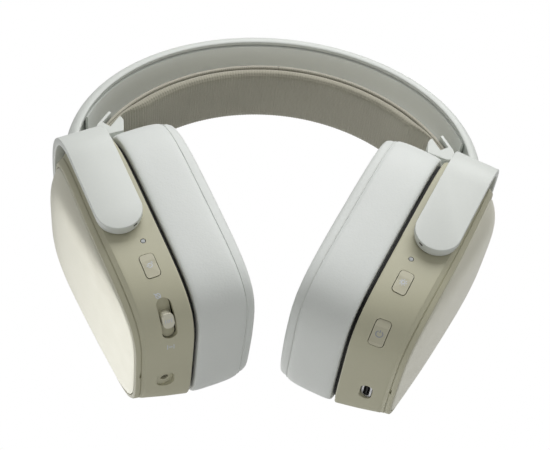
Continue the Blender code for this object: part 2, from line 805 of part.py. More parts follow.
def battery(side):
    here = frame_of((5.3, 0, -2.0), (0, 1, 0), (0, 0, 1), (1, 0, 0))
    mesh = prism("battery_cell", box_outline(30.0, 42.0, 2.0), 4.8, here)
    side.piece("battery_cell", mesh, side.tilt, CELL)


right = build_side("right", False)
add_key(right, "light_button", FIRST_KEY_SPOT, FIRST_KEY)
add_key(right, "power_button", POWER_KEY_SPOT, POWER_KEY)
charging_socket(right)

left = build_side("left", True)
add_key(left, "mode_button", FIRST_KEY_SPOT, FIRST_KEY)
slide_switch(left)
audio_jack(left)
battery(left)
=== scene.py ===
"""Looks of a wireless over-ear headset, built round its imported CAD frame.

The frame is in metres, +Z up, the wearer faces +Y and the right cup is at +X. Sizes below
are in millimetres unless they say otherwise. Each cup is worked out in its own directions:
out of the head, forward, and up along the leaning cup, measured from the cup's tilt axis.
The left cup is the mirror image of the right one.
"""
import math

import bmesh
import bpy
from mathutils import Matrix, Vector
from mathutils.bvhtree import BVHTree

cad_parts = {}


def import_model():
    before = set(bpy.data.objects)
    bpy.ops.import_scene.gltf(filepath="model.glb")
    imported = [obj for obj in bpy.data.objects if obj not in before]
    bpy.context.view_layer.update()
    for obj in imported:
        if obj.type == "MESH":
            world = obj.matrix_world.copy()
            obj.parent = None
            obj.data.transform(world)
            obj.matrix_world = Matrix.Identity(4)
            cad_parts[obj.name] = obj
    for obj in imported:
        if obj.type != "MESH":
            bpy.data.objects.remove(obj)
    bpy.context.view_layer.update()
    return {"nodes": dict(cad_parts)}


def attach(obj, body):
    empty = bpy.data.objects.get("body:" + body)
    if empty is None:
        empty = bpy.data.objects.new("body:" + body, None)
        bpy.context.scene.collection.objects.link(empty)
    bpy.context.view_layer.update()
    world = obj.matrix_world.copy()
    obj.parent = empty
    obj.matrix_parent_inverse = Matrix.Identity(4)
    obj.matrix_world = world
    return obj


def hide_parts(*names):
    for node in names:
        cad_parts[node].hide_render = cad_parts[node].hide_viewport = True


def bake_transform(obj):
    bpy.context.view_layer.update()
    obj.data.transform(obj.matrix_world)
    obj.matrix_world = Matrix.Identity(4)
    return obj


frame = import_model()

NODES = frame["nodes"]
MM = 0.001

# camera of the product view, from behind the wearer and below: degrees and metres
VIEW_AZIMUTH = -4.2
VIEW_ELEVATION = -33.8
VIEW_ROLL = -1.6
VIEW_DISTANCE = 0.668
VIEW_TARGET = Vector((0.0017, 0.0, 0.0258))
VIEW_LENS = 95.8

# studio: metres and watts, and the strength of the surroundings' light
FLOOR_LEVEL = -0.50
FLOOR_HALF = 4.0
FLOOR_GLOW = 0.4
AMBIENT_BELOW = 0.15
AMBIENT_ABOVE = 0.40
LIGHTS = (
    # name, place, point aimed at, width and height, power
    ("key_above_behind", (0.22, -0.75, 0.85), (0, 0, 0.03), (1.1, 0.8), 11.2),
    ("card_front_left", (-0.75, 1.05, -0.12), (-0.08, 0, 0.0), (1.3, 1.1), 6.4),
    ("card_front_right", (0.60, 1.10, 0.50), (0.08, 0, 0.0), (1.2, 1.0), 1.6),
)

# where a cup hangs: its lean from upright, and its tilt axis
LEAN = math.radians(25.2)
PIVOT = Vector((67.2, 0.0, -4.0))

# cup outline at three depths: half length, top, bottom, squareness of the lower half
MOUTH = (43.8, 52.6, 54.9, 5.0)
SHOULDER = (43.3, 51.2, 51.6, 4.0)
RIM = (39.6, 49.0, 51.6, 4.0)
MOUTH_AT = -13.0
SHOULDER_AT = 8.6
RIM_AT = 13.0
GROOVE_AT = SHOULDER_AT + 0.45 * (RIM_AT - SHOULDER_AT)
TOP_POWER = 3.7
WALL = 2.2
WALL_ROWS = 14
AROUND = 144
ANGLES = [2 * math.pi * index / AROUND for index in range(AROUND)]

# bow of the outer half of the cup, and the plate's dome
BOW = 1.5
BOW_REACH = 50.0
BOW_START = -3.0
BOW_BLEND = 10.0
PLATE_INSET = 1.9
DOME = 4.4
DOME_POWER = 6.0
DOME_LEAN = 0.95
DOME_RINGS = 18

# controls round the side wall: degrees from +Y through the top, and depth
LIGHT_SPOT = (199.6, -5.1)
FIRST_KEY = (212.5, -3.5)
POWER_KEY = (235.7, -3.1)
SLIDER = (235.7, -3.2)
CHARGE_SOCKET = (280.6, -0.4)
AUDIO_SOCKET = (280.6, -1.5)
MICROPHONE = (273.0, 10.8)
UPPER_SIGN = (225.2, -1.9)
LOWER_SIGN = (251.2, -3.3)

# openings in the side wall: spot, width, height, corner radius, how far in they go
THROUGH = 7.0
BOTH_OPENINGS = (
    ("light hole", LIGHT_SPOT, 2.4, 2.4, 1.19, THROUGH),
    ("microphone", MICROPHONE, 0.9, 4.4, 0.44, 1.2),
    ("first key hole", FIRST_KEY, 6.6, 11.4, 1.8, THROUGH),
)
SIDE_OPENINGS = {
    "left": (
        ("slider slot", SLIDER, 6.2, 19.0, 3.0, THROUGH),
        ("audio dimple", AUDIO_SOCKET, 7.6, 11.6, 3.7, 1.3),
        ("audio mouth", AUDIO_SOCKET, 3.6, 3.6, 1.79, THROUGH),
    ),
    "right": (
        ("power hole", POWER_KEY, 6.8, 13.0, 1.8, THROUGH),
        ("charge recess", CHARGE_SOCKET, 5.4, 11.4, 2.6, THROUGH),
    ),
}

# yoke: a bent bar, cut to the outline of its arms as seen from behind
YOKE_HALF = 10.1
YOKE_REACH = 49.0
YOKE_THICK = 3.2
YOKE_START = 29.5
YOKE_POWER = 2.55
YOKE_STEPS = 60
YOKE_EDGE = 0.32
SWIVEL_RISE = 58.0
BAR_HALF = 13.0
BAR_FOOT = -14.0
ARM_TOP = 70.0
ARM_CUT = 60.0
INLAY_AT = 246.0

# shallow hollow in the side wall behind an arm
HOLLOW_MARGIN = 3.4
HOLLOW_SHIFT = 1.0
HOLLOW_DEEP = 0.62
HOLLOW_ABOVE = 4.0

# printed marks: where the search for a surface starts, and how far the ink stands up
MARK_ABOVE = 4.0
INK_THICK = 0.03

# ear pad
PAD_BACK = -15.0
PAD_MIDDLE = PAD_BACK - 14.0
PAD_FACE = -41.0
EAR_HALF = 21.0
EAR_RISE = 31.0
OVAL_POWER = 2.5
FLARE = 2.2
FLARE_FROM = 18.0
FLARE_OVER = 6.0
SEAM_SINK = 0.55
SEAM_REACH = 1.6
PIPING_RADIUS = 0.34

# leatherette blown up as cloth: frames, and the furthest a point may move, in metres
PUFF_FRAMES = 20
PUFF_LIMIT = 0.0012

# headband, seen from behind as half of an ellipse
BAND_HALF = 96.1
BAND_RISE = 72.8
BAND_LEVEL = 53.3
BAND_THICK = 5.7
BAND_LIP = 1.2
BAND_WIDE = 33.0
BAND_END = 91.0
CROWN_WIDE = 6.0
CHANNEL_DEEP = 1.8
CHANNEL_WIDE = 29.0
LINER_WIDE = 27.0
LINER_BACK = 5.0
LINER_FACE = 6.1
LINER_END = 76.0
ARCH_STEPS = 150

# floating strap, seen from behind as the top of an ellipse, which ends at the clips
STRAP_HALF = 88.6
STRAP_RISE = 77.2
STRAP_LEVEL = 29.5
STRAP_WIDE = 32.0
STRAP_END = 63.4
CARRIER_THICK = 1.6
CARRIER_EDGE = 0.6
CARRIER_STEP = 1.2
PAD_THICK = 4.6
PAD_THIN = 1.3
PAD_THIN_FROM = 46.0
PAD_THIN_OVER = 11.0
PAD_CORNER = 1.9
PAD_CROWN = 0.35
PAD_GAP = 0.15
PAD_SUNK = 0.2
PAD_STEPS = 12
RIB_PITCH = 1.35
RIB_HEIGHT = 0.17
RIB_STEPS = 6
EDGE_TURNS = [math.pi * step / 6 for step in range(7)]

# speaker cloth
CLOTH_HALF = 25.4
CLOTH_RISE = 35.4
CLOTH_AT = -14.55
CLOTH_DISH = 0.5
CLOTH_RINGS = 14
CLOTH_AROUND = 72


# ---- materials

class Shader:
    """A material's node tree with short calls for the nodes used here."""

    def __init__(self, name, colour, roughness):
        self.material = bpy.data.materials.new(name)
        self.material.use_nodes = True
        self.tree = self.material.node_tree
        self.principled = self.tree.nodes["Principled BSDF"]
        self.principled.inputs["Base Color"].default_value = (*colour, 1.0)
        self.principled.inputs["Roughness"].default_value = roughness
        place = self.tree.nodes.new("ShaderNodeTexCoord")
        self.place = place.outputs["Object"]
        self.normal = None

    def set(self, **values):
        for word, value in values.items():
            self.principled.inputs[word.replace("_", " ")].default_value = value

    def link(self, output, target):
        self.tree.links.new(output, target)

    def noise(self, pitch, detail=3.0, stretch=None):
        """Cloudy pattern whose features are about pitch metres across."""
        node = self.tree.nodes.new("ShaderNodeTexNoise")
        node.inputs["Scale"].default_value = 1.0 / pitch
        node.inputs["Detail"].default_value = detail
        self.link(self.stretched(stretch), node.inputs["Vector"])
        return node.outputs["Fac"]

    def cells(self, pitch, feature="F1"):
        """Distance from the middles of cells about pitch metres across."""
        node = self.tree.nodes.new("ShaderNodeTexVoronoi")
        node.feature = feature
        node.inputs["Scale"].default_value = 1.0 / pitch
        self.link(self.place, node.inputs["Vector"])
        return node.outputs["Distance"]

    def waves(self, pitch, direction):
        """Bands across one direction, a pitch of metres apart."""
        node = self.tree.nodes.new("ShaderNodeTexWave")
        node.bands_direction = direction
        node.inputs["Scale"].default_value = 0.314 / pitch
        self.link(self.place, node.inputs["Vector"])
        return node.outputs["Fac"]

    def stretched(self, stretch):
        """The object's own coordinates, scaled along each direction when asked."""
        if stretch is None:
            return self.place
        node = self.tree.nodes.new("ShaderNodeMapping")
        node.inputs["Scale"].default_value = stretch
        self.link(self.place, node.inputs["Vector"])
        return node.outputs["Vector"]

    def ramp(self, value, low, high, start=0.0, stop=1.0):
        """Value from low..high mapped to start..stop."""
        node = self.tree.nodes.new("ShaderNodeMapRange")
        node.inputs["From Min"].default_value = low
        node.inputs["From Max"].default_value = high
        node.inputs["To Min"].default_value = start
        node.inputs["To Max"].default_value = stop
        self.link(value, node.inputs["Value"])
        return node.outputs["Result"]

    def times(self, first, second):
        """Product of two values, each a socket or a number."""
        node = self.tree.nodes.new("ShaderNodeMath")
        node.operation = "MULTIPLY"
        for socket, value in zip(node.inputs, (first, second)):
            if isinstance(value, (int, float)):
                socket.default_value = value
            else:
                self.link(value, socket)
        return node.outputs["Value"]

    def tint(self, share, other):
        """Mix the base colour towards another one by a share."""
        node = self.tree.nodes.new("ShaderNodeMix")
        node.data_type = "RGBA"
        socket = self.principled.inputs["Base Color"]
        if socket.is_linked:
            self.link(socket.links[0].from_socket, node.inputs["A"])
        else:
            node.inputs["A"].default_value = socket.default_value
        node.inputs["B"].default_value = (*other, 1.0)
        self.link(share, node.inputs["Factor"])
        self.link(node.outputs["Result"], socket)

    def roughness(self, value, low, high):
        """Roughness that follows a pattern between two values."""
        self.link(self.ramp(value, 0.0, 1.0, low, high), self.principled.inputs["Roughness"])

    def bump(self, height, depth, strength):
        """Relief of a depth in metres, laid over the relief made before it."""
        node = self.tree.nodes.new("ShaderNodeBump")
        node.inputs["Strength"].default_value = strength
        node.inputs["Distance"].default_value = depth
        self.link(height, node.inputs["Height"])
        if self.normal is not None:
            self.link(self.normal, node.inputs["Normal"])
        self.normal = node.outputs["Normal"]
        self.link(self.normal, self.principled.inputs["Normal"])

    def worn_edges(self, other):
        """A faint polish on convex edges."""
        node = self.tree.nodes.new("ShaderNodeNewGeometry")
        edge = self.ramp(node.outputs["Pointiness"], 0.52, 0.60, 0.0, 0.35)
        patchy = self.ramp(self.noise(0.004), 0.35, 0.7)
        self.tint(self.times(edge, patchy), other)


def moulded(name, colour, roughness, depth=0.000007, light=None):
    """Moulded plastic with a fine spark-eroded grain and slow tone changes."""
    shader = Shader(name, colour, roughness)
    dark = tuple(0.9 * part for part in colour)
    light = light or tuple(min(1.0, 1.06 * part) for part in colour)
    shader.tint(shader.ramp(shader.noise(0.05, 2.0), 0.35, 0.7, 0.0, 0.3), dark)
    shader.tint(shader.ramp(shader.noise(0.0009, 2.0), 0.45, 0.75, 0.0, 0.22), light)
    shader.worn_edges(light)
    shader.roughness(shader.noise(0.006, 4.0), roughness - 0.06, roughness + 0.08)
    shader.bump(shader.cells(0.00035), depth, 0.35)
    shader.bump(shader.noise(0.0012, 3.0), depth, 0.25)
    return shader


def plate_finish():
    shader = moulded("satin_plate", (0.78, 0.765, 0.645), 0.40, depth=0.000005)
    shader.set(Metallic=0.4)
    return shader.material


def leatherette():
    """Pale artificial leather: pebbled cells, fine creases, soft sheen."""
    shader = Shader("pale_leatherette", (0.70, 0.725, 0.70), 0.5)
    shader.tint(shader.ramp(shader.noise(0.03, 3.0), 0.3, 0.75, 0.0, 0.25), (0.63, 0.645, 0.62))
    pores = shader.ramp(shader.cells(0.0007), 0.0, 0.35, 0.28, 0.0)
    shader.tint(pores, (0.55, 0.56, 0.53))
    shader.roughness(shader.noise(0.004, 4.0), 0.44, 0.6)
    shader.bump(shader.cells(0.0008, "SMOOTH_F1"), 0.00009, 0.4)
    shader.bump(shader.noise(0.0035, 5.0), 0.00012, 0.35)
    shader.set(Sheen_Weight=0.12, Sheen_Roughness=0.5)
    return shader.material


def piping():
    shader = Shader("leatherette_piping", (0.66, 0.68, 0.655), 0.5)
    shader.tint(shader.ramp(shader.noise(0.002, 3.0), 0.3, 0.7, 0.0, 0.3), (0.55, 0.565, 0.54))
    shader.bump(shader.cells(0.0006, "SMOOTH_F1"), 0.00006, 0.4)
    return shader.material


def knit():
    """Ribbed knit: tiny stitches in rows across the modelled ribs, with a soft nap."""
    shader = Shader("taupe_rib_knit", (0.36, 0.34, 0.265), 0.85)
    stitches = shader.waves(0.0009, "Y")
    strands = shader.noise(0.00045, 3.0, (1.0, 3.0, 1.0))
    shader.tint(shader.ramp(strands, 0.35, 0.75, 0.0, 0.6), (0.46, 0.44, 0.35))
    shader.tint(shader.ramp(shader.noise(0.02, 2.0), 0.4, 0.75, 0.0, 0.35), (0.31, 0.29, 0.225))
    shader.bump(stitches, 0.00025, 0.5)
    shader.bump(strands, 0.0002, 0.5)
    shader.set(Sheen_Weight=0.35, Sheen_Roughness=0.6)
    return shader.material


def webbing():
    """Tight elastic webbing with a cross weave."""
    shader = Shader("taupe_webbing", (0.47, 0.45, 0.375), 0.8)
    warp = shader.waves(0.0007, "Y")
    weft = shader.waves(0.0009, "X")
    weave = shader.times(warp, weft)
    shader.tint(shader.ramp(weave, 0.1, 0.8, 0.35, 0.0), (0.33, 0.315, 0.255))
    shader.tint(shader.ramp(shader.noise(0.0012, 3.0), 0.4, 0.8, 0.0, 0.4), (0.55, 0.53, 0.45))
    shader.bump(weave, 0.00022, 0.6)
    shader.set(Sheen_Weight=0.2)
    return shader.material


def scrim_cloth():
    """Thin open speaker cloth: small holes close together."""
    shader = Shader("speaker_cloth", (0.045, 0.045, 0.045), 0.9)
    holes = shader.ramp(shader.cells(0.0011), 0.15, 0.4, 0.0, 1.0)
    shader.tint(shader.ramp(holes, 0.0, 1.0, 0.0, 0.6), (0.11, 0.11, 0.105))
    shader.bump(holes, 0.0002, 0.8)
    return shader.material


def brushed_steel():
    shader = Shader("brushed_steel", (0.55, 0.55, 0.56), 0.32)
    shader.set(Metallic=1.0)
    streaks = shader.noise(0.0006, 3.0, (1.0, 12.0, 1.0))
    shader.roughness(streaks, 0.22, 0.45)
    shader.bump(streaks, 0.00002, 0.5)
    return shader.material


def circuit_board():
    shader = Shader("circuit_laminate", (0.015, 0.09, 0.04), 0.4)
    tracks = shader.ramp(shader.waves(0.0022, "Y"), 0.45, 0.5)
    shader.tint(shader.times(tracks, 0.6), (0.04, 0.20, 0.08))
    shader.bump(tracks, 0.00004, 0.5)
    return shader.material


def lens():
    shader = moulded("smoked_lens", (0.20, 0.22, 0.22), 0.22, depth=0.000004)
    shader.set(Coat_Weight=0.6, Coat_Roughness=0.05)
    return shader.material


def print_ink(name, colour):
    shader = Shader(name, colour, 0.5)
    worn = tuple(0.85 * part for part in colour)
    shader.tint(shader.ramp(shader.noise(0.0004, 2.0), 0.35, 0.7, 0.0, 0.35), worn)
    shader.bump(shader.noise(0.0002, 2.0), 0.00001, 0.4)
    return shader.material


def dark_print():
    shader = Shader("dark_print", (0.05, 0.05, 0.05), 0.5)
    shader.tint(shader.ramp(shader.noise(0.0004, 2.0), 0.35, 0.7, 0.0, 0.5), (0.10, 0.10, 0.10))
    return shader.material


WHITE = moulded("white_satin_plastic", (0.665, 0.69, 0.655), 0.42).material
# the liner is the band's white plastic; its lighter colour is painted light on the shaded inside
# of the band
LINER_PAINTED_LIGHT = moulded("liner_plastic_with_painted_light", (0.86, 0.885, 0.845), 0.55).material
GREIGE = moulded("greige_plastic", (0.50, 0.485, 0.355), 0.48).material
KEY = moulded("greige_key", (0.515, 0.495, 0.375), 0.42, depth=0.000005).material
CREAM = moulded("cream_knob", (0.70, 0.68, 0.56), 0.45).material
PLATE = plate_finish()
LEATHER = leatherette()
PIPING = piping()
KNIT = knit()
WEBBING = webbing()
SCRIM = scrim_cloth()
BLACK = moulded("black_plastic", (0.008, 0.008, 0.008), 0.75, light=(0.02, 0.02, 0.02)).material
STEEL = brushed_steel()
BOARD = circuit_board()
CELL = moulded("cell_wrap", (0.24, 0.25, 0.27), 0.35).material
LENS = lens()
INK = print_ink("pale_grey_print", (0.60, 0.64, 0.71))
POWER_INK = print_ink("blue_grey_print", (0.29, 0.32, 0.39))
DARK_INK = dark_print()

CAD_FINISH = {
    "spring_core": STEEL, "strap_clip": WHITE, "hinge_block": WHITE, "clip_screw": STEEL,
    "swivel_pin": STEEL, "rear_pivot": WHITE, "front_pivot": WHITE, "pad_ring": BLACK,
    "baffle": BLACK, "driver": BLACK, "driver_magnet": STEEL, "circuit_board": BOARD,
    "battery_cell": CELL, "status_light": LENS, "charge_socket": STEEL, "charge_tongue": BLACK,
    "audio_socket": KEY, "slider_floor": GREIGE, "slider_knob": CREAM, "mode_button": KEY,
    "light_button": KEY, "power_button": KEY,
}


def finish_cad_nodes():
    """A better material on every CAD node that no new piece replaces."""
    for name, node in NODES.items():
        word = name.removesuffix("_left").removesuffix("_right")
        if word in CAD_FINISH:
            node.data.materials.clear()
            node.data.materials.append(CAD_FINISH[word])


# ---- mesh helpers

def cup_matrix(side):
    """From a cup's own directions in metres to the world."""
    flip = Matrix.Diagonal((-1, 1, 1, 1)) if side == "left" else Matrix()
    return flip @ Matrix.Translation(PIVOT * MM) @ Matrix.Rotation(LEAN, 4, "Y")


def new_object(name, data):
    """An object put into the scene."""
    made = bpy.data.objects.new(name, data)
    bpy.context.scene.collection.objects.link(made)
    return made


def finished_mesh(name, work):
    """A mesh with what was built in a bmesh."""
    mesh = bpy.data.meshes.new(name)
    work.to_mesh(mesh)
    work.free()
    return mesh


def make_mesh(name, rows, closed_rows, matrix=None, caps=False):
    """A skin through closed rows of points, which may join up end to end or have end caps."""
    work = bmesh.new()
    made = [[work.verts.new(Vector(point) * MM) for point in row] for row in rows]
    pairs = list(zip(made, made[1:]))
    if closed_rows:
        pairs.append((made[-1], made[0]))
    for first, second in pairs:
        count = len(first)
        for index in range(count):
            after = (index + 1) % count
            work.faces.new((first[index], first[after], second[after], second[index]))
    if caps:
        work.faces.new(made[0])
        work.faces.new(made[-1])
    if matrix is not None:
        bmesh.ops.transform(work, matrix=matrix, verts=work.verts)
    bmesh.ops.recalc_face_normals(work, faces=work.faces)
    mesh = finished_mesh(name, work)
    mesh.shade_smooth()
    return mesh


def add_piece(name, mesh, paint):
    """An object in the scene with one material."""
    piece = new_object(name, mesh)
    mesh.materials.append(paint)
    return piece


def apply_modifiers(piece):
    """Bake a piece's modifiers into its mesh."""
    graph = bpy.context.evaluated_depsgraph_get()
    mesh = bpy.data.meshes.new_from_object(piece.evaluated_get(graph))
    piece.modifiers.clear()
    piece.data = mesh


def outline_point(size, inset, angle):
    """Forward and up on the cup's outline at an angle, a superellipse with two halves."""
    half, top, bottom, bottom_power = size
    rise = (top if math.sin(angle) >= 0 else bottom) - inset
    power = TOP_POWER if math.sin(angle) >= 0 else bottom_power
    reach = abs(math.cos(angle) / (half - inset)) ** power
    reach += abs(math.sin(angle) / rise) ** power
    radius = reach ** (-1 / power)
    return radius * math.cos(angle), radius * math.sin(angle)


def oval_point(half, rise, angle):
    """Forward and up on the oval of the ear opening, or on a like one."""
    reach = abs(math.cos(angle) / half) ** OVAL_POWER + abs(math.sin(angle) / rise) ** OVAL_POWER
    radius = reach ** (-1 / OVAL_POWER)
    return radius * math.cos(angle), radius * math.sin(angle)


def bowed(depth, height):
    """Depth after the bow: the cup gets shallower towards its top and bottom."""
    share = min(1.0, max(0.0, (depth - BOW_START) / BOW_BLEND))
    return depth - BOW * share * (height / BOW_REACH) ** 2


def cup_size(depth):
    """Half length, top, bottom and squareness of the cup outline at a depth."""
    if depth <= SHOULDER_AT:
        share = (depth - MOUTH_AT) / (SHOULDER_AT - MOUTH_AT)
        return [a + (b - a) * share for a, b in zip(MOUTH, SHOULDER)]
    share = (depth - SHOULDER_AT) / (RIM_AT - SHOULDER_AT)
    return [a + (b - a) * share for a, b in zip(SHOULDER, RIM)]


def wall_frame(degrees, depth):
    """Placing matrix on the side wall: third axis straight out of the wall."""
    size = cup_size(depth)
    angle = math.radians(degrees)
    nudge = 0.02
    here = Vector(outline_point(size, 0.0, angle))
    ahead = Vector(outline_point(size, 0.0, angle + nudge))
    behind = Vector(outline_point(size, 0.0, angle - nudge))
    along = (ahead - behind).normalized()
    right = Vector((1.0, 0.0, 0.0))
    out = Vector((0.0, along.y, -along.x))
    made = Matrix((right, out.cross(right), out)).transposed().to_4x4()
    made.translation = Vector((bowed(depth, here.y), here.x, here.y)) * MM
    return made


def cup_row(depth, inset, size=None, scale=1.0):
    """Points round the cup at a depth, drawn in from its outline by an inset."""
    size = size or cup_size(depth)
    row = []
    for angle in ANGLES:
        along, height = outline_point(size, inset, angle)
        row.append((bowed(depth, height * scale), along * scale, height * scale))
    return row


def box_outline(wide, tall, corner):
    """A rectangle with rounded corners, centred."""
    points = []
    steps = 6
    for turn, (right, up) in enumerate(((1, 1), (-1, 1), (-1, -1), (1, -1))):
        for index in range(steps + 1):
            angle = math.radians(90 * turn + 90 * index / steps)
            across = right * (wide / 2 - corner) + corner * math.cos(angle)
            along = up * (tall / 2 - corner) + corner * math.sin(angle)
            points.append((across, along))
    return points


def prism(name, outline, low, high, matrix):
    """A flat outline given a height between two levels on the third axis of a placing matrix."""
    rows = [[(x, y, level) for x, y in outline] for level in (low, high)]
    return make_mesh(name, rows, False, matrix=matrix, caps=True)


def cut_with(piece, mesh, kind="DIFFERENCE"):
    """Take a throw-away cutter's shape from a piece, or keep only what lies inside it."""
    cutter = new_object("cutter", mesh)
    step = piece.modifiers.new("cut", "BOOLEAN")
    step.object = cutter
    step.operation = kind
    step.solver = "EXACT"
    apply_modifiers(piece)
    bpy.data.objects.remove(cutter)


def arm_outline(radius, steps, shift):
    """A yoke arm seen from behind: half round at the bottom, straight up from there."""
    points = []
    for index in range(steps + 1):
        angle = math.pi + math.pi * index / steps
        points.append((radius * math.cos(angle) - shift, radius * math.sin(angle)))
    return points + [(radius - shift, ARM_TOP), (-radius - shift, ARM_TOP)]


def smooth_by_angle(piece, degrees=35.0):
    """Smooth shading that keeps edges sharper than an angle."""
    piece.data.shade_smooth()
    piece.data.set_sharp_from_angle(angle=math.radians(degrees))


# ---- cup shells

# section of the shell: depth, inset from the cup outline
LIP_SECTION = (
    (MOUTH_AT - 0.3, 1.2), (MOUTH_AT - 0.3, 0.7), (MOUTH_AT - 0.15, 0.3), (MOUTH_AT + 0.3, 0.0),
)
SLOPE_SECTION = (
    # soft shoulder
    (SHOULDER_AT - 0.4, 0.0), (SHOULDER_AT - 0.1, 0.06), (SHOULDER_AT + 0.15, 0.18),
    (SHOULDER_AT + 0.5, 0.22),
    # groove between the slope's two steps
    (GROOVE_AT - 0.3, 0.15), (GROOVE_AT - 0.22, 0.55), (GROOVE_AT + 0.22, 0.55),
    (GROOVE_AT + 0.3, 0.1),
    # rim and seat of the outer plate
    (RIM_AT - 0.5, 0.0), (RIM_AT - 0.15, 0.1), (RIM_AT, 0.45), (RIM_AT, PLATE_INSET - 0.35),
    (RIM_AT - 0.2, PLATE_INSET - 0.25), (RIM_AT - 1.8, PLATE_INSET - 0.25), (RIM_AT - 1.8, 5.0),
    # inside wall, back to the mouth
    (RIM_AT - 3.2, 5.0), (SHOULDER_AT - 2.0, WALL), (-3.0, WALL), (MOUTH_AT - 0.3, WALL),
)
FROM_BEHIND = Matrix(((1, 0, 0), (0, 0, -1), (0, 1, 0))).to_4x4()


def shell_rows():
    """Closed section of the shell: lip, side wall, two-step slope, plate seat, inside wall."""
    wall = []
    for step in range(1, WALL_ROWS):
        depth = MOUTH_AT + (SHOULDER_AT - 0.4 - MOUTH_AT) * step / WALL_ROWS
        wall.append((depth, 0.0))
    return [cup_row(depth, inset) for depth, inset in (*LIP_SECTION, *wall, *SLOPE_SECTION)]


def arm_hollow(matrix):
    """Cutter for the shallow hollow in the side wall behind the yoke's arm."""
    outline = arm_outline(YOKE_HALF + HOLLOW_MARGIN, 32, HOLLOW_SHIFT)
    low, high = MOUTH[0] - HOLLOW_DEEP, MOUTH[0] + HOLLOW_ABOVE
    return prism("arm_hollow", outline, low, high, matrix @ FROM_BEHIND)


def cup_shell(side):
    matrix = cup_matrix(side)
    name = "cup_shell_skin_" + side
    shell = add_piece(name, make_mesh(name, shell_rows(), True, matrix=matrix), GREIGE)
    cut_with(shell, arm_hollow(matrix))
    for word, spot, wide, tall, corner, deep in BOTH_OPENINGS + SIDE_OPENINGS[side]:
        outline = box_outline(wide, tall, corner)
        cut_with(shell, prism(word, outline, -deep, THROUGH, matrix @ wall_frame(*spot)))
    smooth_by_angle(shell, 28.0)
    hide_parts("cup_shell_" + side)
    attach(shell, "cup_" + side)


def dome_row(base, scale, inset=PLATE_INSET):
    """Points round the outer plate, lifted by its dome."""
    lift = DOME * (1 - scale ** DOME_POWER)
    row = []
    for depth, along, height in cup_row(RIM_AT, inset, RIM, scale):
        bulge = lift * (1 + DOME_LEAN * height / BOW_REACH)
        row.append((depth + base + bulge, along, height))
    return row


def outer_plate(side):
    """Smooth domed plate with a soft edge, in one piece with its flange."""
    rows = []
    for ring in range(DOME_RINGS):
        rows.append(dome_row(0.3, 0.03 + 0.95 * (ring / (DOME_RINGS - 1)) ** 0.7))
    rows += [dome_row(0.18, 0.992), dome_row(0.0, 1.0, PLATE_INSET - 0.02)]
    rows += [dome_row(-0.4, 1.0, PLATE_INSET - 0.05), dome_row(-1.5, 1.0, PLATE_INSET - 0.05)]
    rows += [dome_row(-1.5, scale) for scale in (0.93, 0.74, 0.4, 0.1)]
    name = "outer_plate_skin_" + side
    mesh = make_mesh(name, rows, False, matrix=cup_matrix(side), caps=True)
    plate = add_piece(name, mesh, PLATE)
    smooth_by_angle(plate, 40.0)
    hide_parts("outer_plate_" + side)
    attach(plate, "cup_" + side)


# ---- headband

def arch_skin(name, half_section, end, paint):
    """A section, given as (in from the crown, across), carried along the band's arch."""
    section = half_section + [(inward, -across) for inward, across in reversed(half_section)]
    rows = []
    for step in range(ARCH_STEPS + 1):
        angle = math.radians(-end + 2 * end * step / ARCH_STEPS)
        row = []
        for inward, across in section:
            reach = (BAND_HALF - inward) * math.sin(angle)
            level = BAND_LEVEL + (BAND_RISE - inward) * math.cos(angle)
            row.append((reach, across, level))
        rows.append(row)
    skin = add_piece(name, make_mesh(name, rows, False, caps=True), paint)
    smooth_by_angle(skin, 38.0)
    return skin


def corner_points(inward, across, radius, outward):
    """Three points that round an edge of a section; outward is -1 for a channel's edge."""
    points = [(inward - radius, across), (inward - 0.3 * radius, across - outward * 0.3 * radius)]
    return points + [(inward, across - outward * radius)]


def band_shell():
    """Outer shell: channelled inside, domed outside, with small rounded lips."""
    half = BAND_WIDE / 2
    section = [(BAND_THICK - CHANNEL_DEEP, CHANNEL_WIDE / 2)]
    section += corner_points(BAND_THICK, CHANNEL_WIDE / 2, 0.25, -1)
    section += corner_points(BAND_THICK, half, 0.5, 1)[::-1]
    steps = 12
    for step in range(steps + 1):
        angle = math.pi / 2 * step / steps
        inward = (BAND_THICK - BAND_LIP) * (1 - math.sin(angle))
        section.append((inward, half - CROWN_WIDE * (1 - math.cos(angle))))
    shell = arch_skin("band_shell_skin", section, BAND_END, WHITE)
    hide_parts("band_shell")
    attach(shell, "headband")


def band_liner():
    """Thin liner lying in the band's channel, with rounded edges."""
    section = [(LINER_BACK, LINER_WIDE / 2)]
    section += corner_points(LINER_FACE, LINER_WIDE / 2, 0.4, 1)
    # the liner's material is lightened: painted light on the band's shaded inside
    liner = arch_skin("band_liner_skin", section, LINER_END, LINER_PAINTED_LIGHT)
    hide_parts("band_liner")
    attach(liner, "headband")


# ---- yokes

def yoke_rows():
    """Bent bar over the cup, a row at each step from one arm's foot to the other's."""
    outer = [(YOKE_REACH, BAR_FOOT)]
    inner = [(YOKE_REACH - YOKE_THICK, BAR_FOOT)]
    for index in range(YOKE_STEPS + 1):
        angle = math.pi * index / YOKE_STEPS
        across = math.copysign(abs(math.cos(angle)) ** (2 / YOKE_POWER), math.cos(angle))
        up = abs(math.sin(angle)) ** (2 / YOKE_POWER)
        outer.append((YOKE_REACH * across, YOKE_START + (SWIVEL_RISE - YOKE_START) * up))
        rise = SWIVEL_RISE - YOKE_START - YOKE_THICK
        inner.append(((YOKE_REACH - YOKE_THICK) * across, YOKE_START + rise * up))
    outer.append((-YOKE_REACH, BAR_FOOT))
    inner.append((-(YOKE_REACH - YOKE_THICK), BAR_FOOT))
    rows = []
    for (near_y, near_z), (far_y, far_z) in zip(outer, inner):
        row = [(-BAR_HALF, near_y, near_z), (BAR_HALF, near_y, near_z)]
        row += [(BAR_HALF, far_y, far_z), (-BAR_HALF, far_y, far_z)]
        rows.append(row)
    return rows


